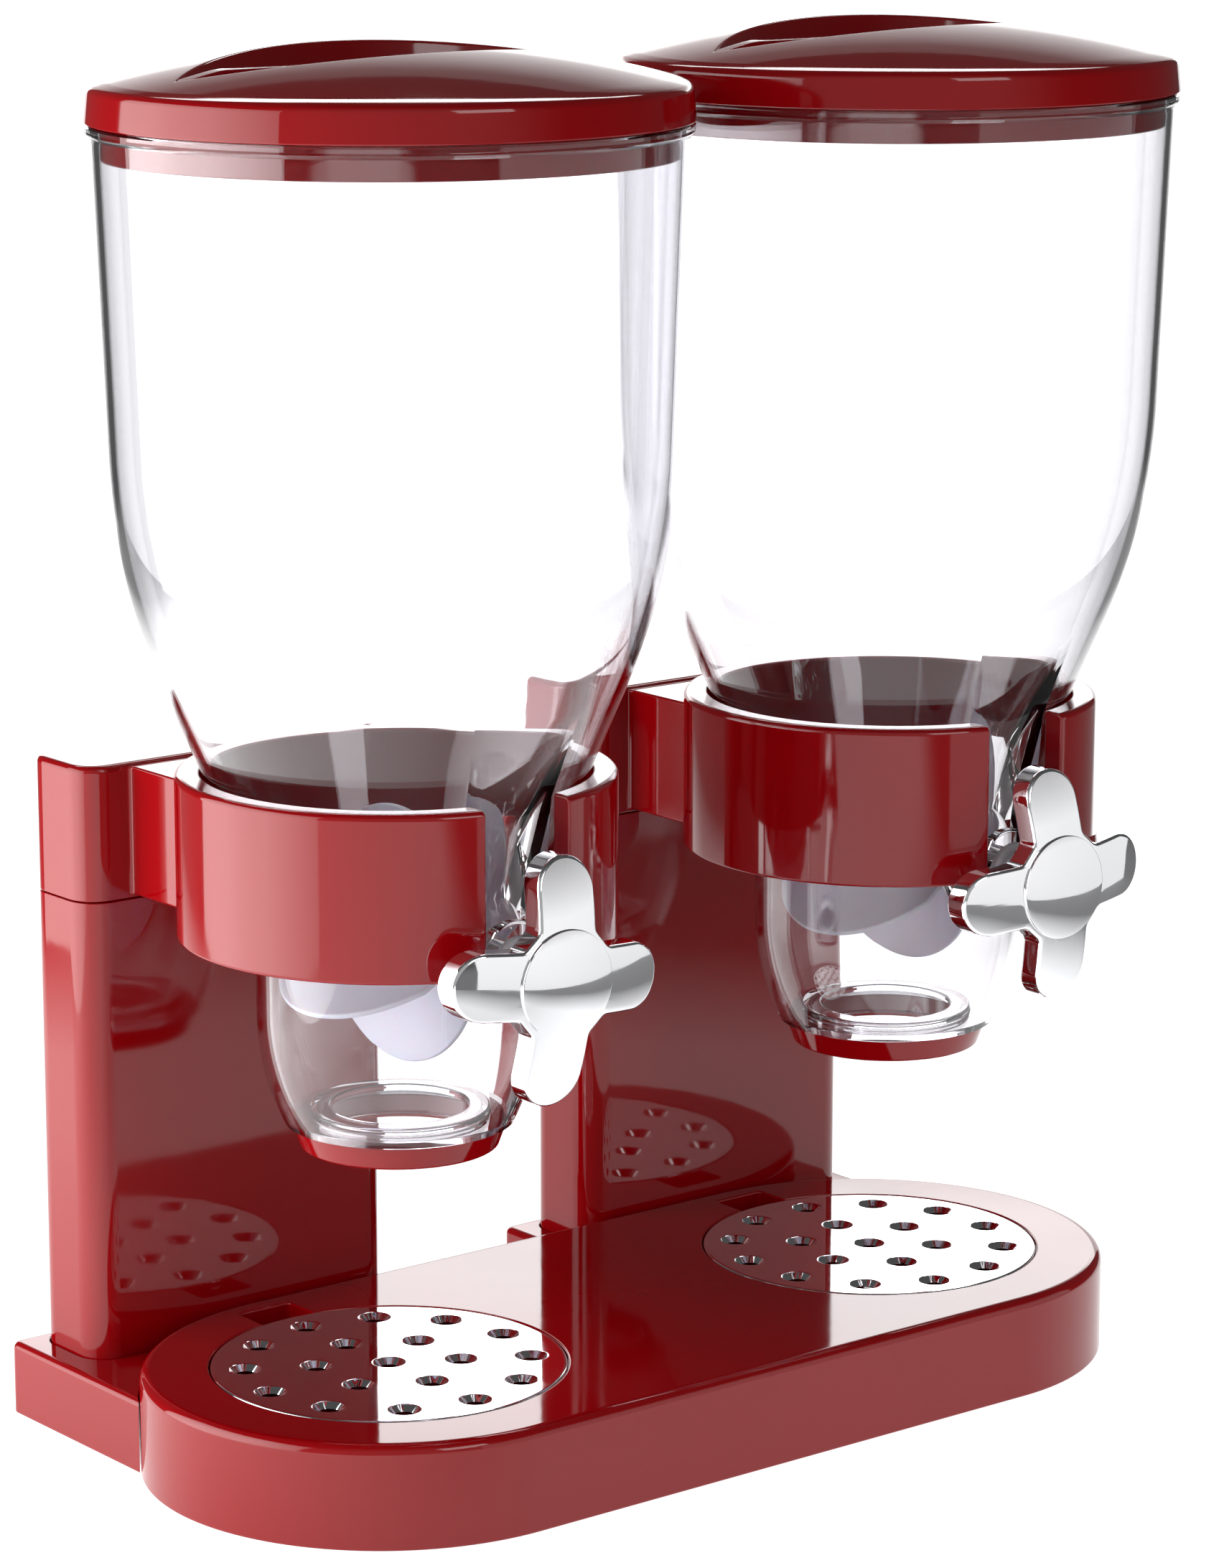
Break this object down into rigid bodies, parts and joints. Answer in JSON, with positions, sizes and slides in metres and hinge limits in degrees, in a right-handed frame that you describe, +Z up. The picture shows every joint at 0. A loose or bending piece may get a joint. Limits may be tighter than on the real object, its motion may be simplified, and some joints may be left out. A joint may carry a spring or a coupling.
{
  "type": "cereal dispenser",
  "caption": "Countertop cereal dispenser: clear canisters with lift-off lids on a red stand, chrome knobs that turn soft paddle wheels, and perforated chrome drip trays.",
  "frame": {"origin": "on the ground under the middle of the whole object's bounding box", "axes": "+Z up; -Y towards the knobs (front); +X to the right seen from the front"},
  "size_m": [0.3318, 0.186, 0.3865],
  "materials": {
    "red_plastic": "high-gloss moulded deep red plastic",
    "clear_plastic": "clear colourless moulded plastic with a faint cool tint at its edges",
    "chrome_plate": "mirror-bright chrome plating",
    "soft_silicone": "soft milky white silicone, satin",
    "white_plastic": "semi-gloss white moulded plastic",
    "axle_steel": "ground steel rod",
    "screw_steel": "zinc-plated steel",
    "foot_rubber": "matt black rubber"
  },
  "bodies": {
    "stand": {"base_shell": "red_plastic", "left_crumb_cup": "red_plastic", "left_rear_foot": "red_plastic", "left_column": "red_plastic", "left_holder": "red_plastic", "left_front_rubber_foot": "foot_rubber", "left_rear_rubber_foot_1": "foot_rubber", "left_rear_rubber_foot_2": "foot_rubber", "left_base_screw_1": "screw_steel", "left_base_screw_2": "screw_steel", "left_column_screw_1": "screw_steel", "left_column_screw_2": "screw_steel", "right_crumb_cup": "red_plastic", "right_rear_foot": "red_plastic", "right_column": "red_plastic", "right_holder": "red_plastic", "right_front_rubber_foot": "foot_rubber", "right_rear_rubber_foot_1": "foot_rubber", "right_rear_rubber_foot_2": "foot_rubber", "right_base_screw_1": "screw_steel", "right_base_screw_2": "screw_steel", "right_column_screw_1": "screw_steel", "right_column_screw_2": "screw_steel"},
    "left_tray_body": {"left_drip_tray": "chrome_plate"},
    "left_canister_body": {"left_canister": "clear_plastic", "left_outlet_collar": "clear_plastic", "left_outlet_ring": "red_plastic", "left_axle_bush": "white_plastic"},
    "left_lid_body": {"left_lid": "red_plastic", "left_lid_seal": "soft_silicone"},
    "left_drive_body": {"left_knob": "chrome_plate", "left_axle": "axle_steel", "left_paddle_hub": "white_plastic", "left_paddle_wheel": "soft_silicone"},
    "right_tray_body": {"right_drip_tray": "chrome_plate"},
    "right_canister_body": {"right_canister": "clear_plastic", "right_outlet_collar": "clear_plastic", "right_outlet_ring": "red_plastic", "right_axle_bush": "white_plastic"},
    "right_lid_body": {"right_lid": "red_plastic", "right_lid_seal": "soft_silicone"},
    "right_drive_body": {"right_knob": "chrome_plate", "right_axle": "axle_steel", "right_paddle_hub": "white_plastic", "right_paddle_wheel": "soft_silicone"}
  },
  "joints": [
    {"name": "left_tray_lift", "type": "slide", "parent": "stand", "child": "left_tray_body", "axis": [0, 0, 1], "range_m": [0, 0.04]},
    {"name": "left_canister_lift", "type": "slide", "parent": "stand", "child": "left_canister_body", "axis": [0, 0, 1], "range_m": [0, 0.12]},
    {"name": "left_lid_lift", "type": "slide", "parent": "left_canister_body", "child": "left_lid_body", "axis": [0, 0, 1], "range_m": [0, 0.05]},
    {"name": "left_knob_turn", "type": "hinge", "parent": "left_canister_body", "child": "left_drive_body", "pos_m": [-0.087, -0.01405, 0.1525], "axis": [0, -1, 0], "continuous": true},
    {"name": "right_tray_lift", "type": "slide", "parent": "stand", "child": "right_tray_body", "axis": [0, 0, 1], "range_m": [0, 0.04]},
    {"name": "right_canister_lift", "type": "slide", "parent": "stand", "child": "right_canister_body", "axis": [0, 0, 1], "range_m": [0, 0.12]},
    {"name": "right_lid_lift", "type": "slide", "parent": "right_canister_body", "child": "right_lid_body", "axis": [0, 0, 1], "range_m": [0, 0.05]},
    {"name": "right_knob_turn", "type": "hinge", "parent": "right_canister_body", "child": "right_drive_body", "pos_m": [0.087, -0.01405, 0.1525], "axis": [0, -1, 0], "continuous": true}
  ]
}
